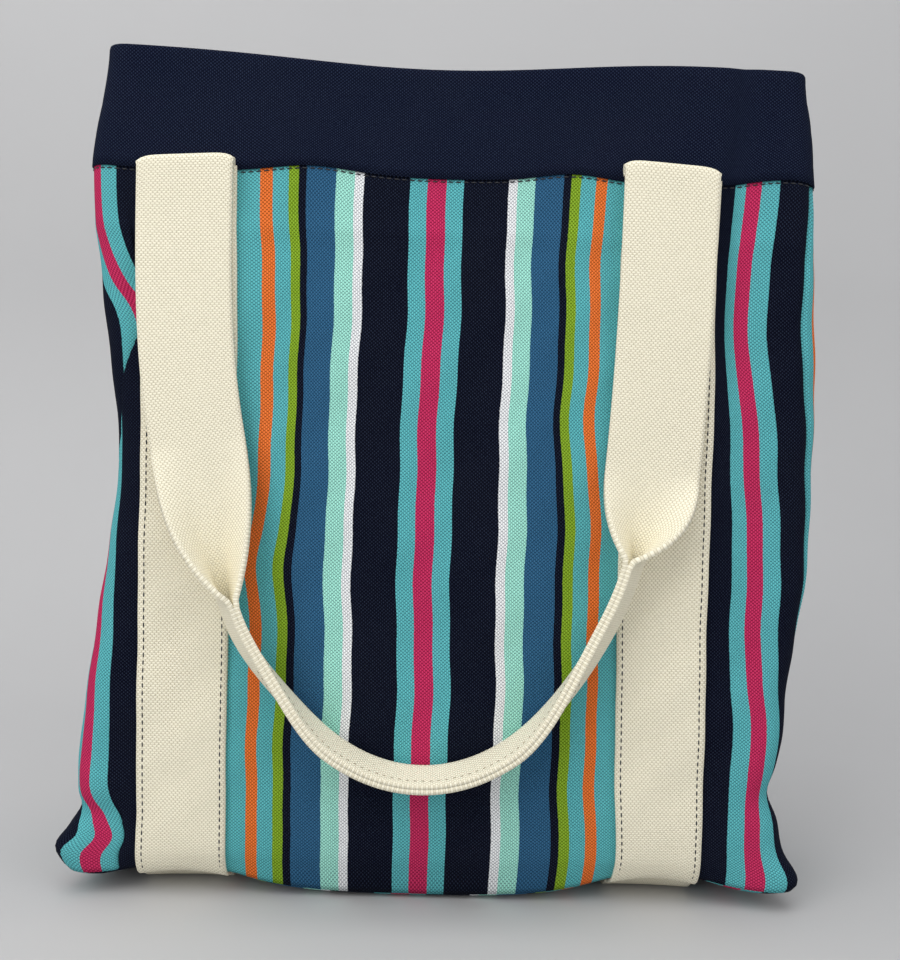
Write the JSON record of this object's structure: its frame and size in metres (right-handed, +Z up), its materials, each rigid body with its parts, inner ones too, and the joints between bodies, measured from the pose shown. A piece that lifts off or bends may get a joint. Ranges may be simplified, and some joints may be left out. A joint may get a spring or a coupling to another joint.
{
  "type": "beach bag",
  "caption": "Open-topped striped canvas beach bag with a plain band round the mouth, side gussets and wide webbing handles that swing on folds at the band.",
  "frame": {"origin": "middle of the base on the floor", "axes": "+Z up, -Y towards the front, +X to the right seen from the front"},
  "size_m": [0.4124, 0.184, 0.474],
  "materials": {
    "striped": "multicolour striped cotton canvas",
    "band": "plain navy cotton canvas",
    "webbing": "cream cotton webbing",
    "dark_thread": "navy sewing thread",
    "grey_thread": "beige-grey sewing thread"
  },
  "bodies": {
    "bag": {"front_panel": "striped", "back_panel": "striped", "left_gusset": "striped", "right_gusset": "striped", "base_panel": "striped", "front_band": "band", "back_band": "band", "left_band": "band", "right_band": "band", "front_left_leg": "webbing", "front_right_leg": "webbing", "back_left_leg": "webbing", "back_right_leg": "webbing", "left_base_webbing": "webbing", "right_base_webbing": "webbing", "front_leg_stitching": "dark_thread", "back_leg_stitching": "dark_thread", "band_stitching": "dark_thread"},
    "front_handle": {"front_left_drop": "webbing", "front_right_drop": "webbing", "front_grip": "webbing", "front_grip_stitching": "grey_thread"},
    "back_handle": {"back_left_drop": "webbing", "back_right_drop": "webbing", "back_grip": "webbing", "back_grip_stitching": "grey_thread"}
  },
  "joints": [
    {"name": "front_handle_swing", "type": "hinge", "parent": "bag", "child": "front_handle", "pos_m": [0, -0.0669, 0.4095], "axis": [-1, 0, 0], "range_deg": [0, 180]},
    {"name": "back_handle_swing", "type": "hinge", "parent": "bag", "child": "back_handle", "pos_m": [0, 0.0669, 0.4095], "axis": [1, 0, 0], "range_deg": [0, 180]}
  ]
}
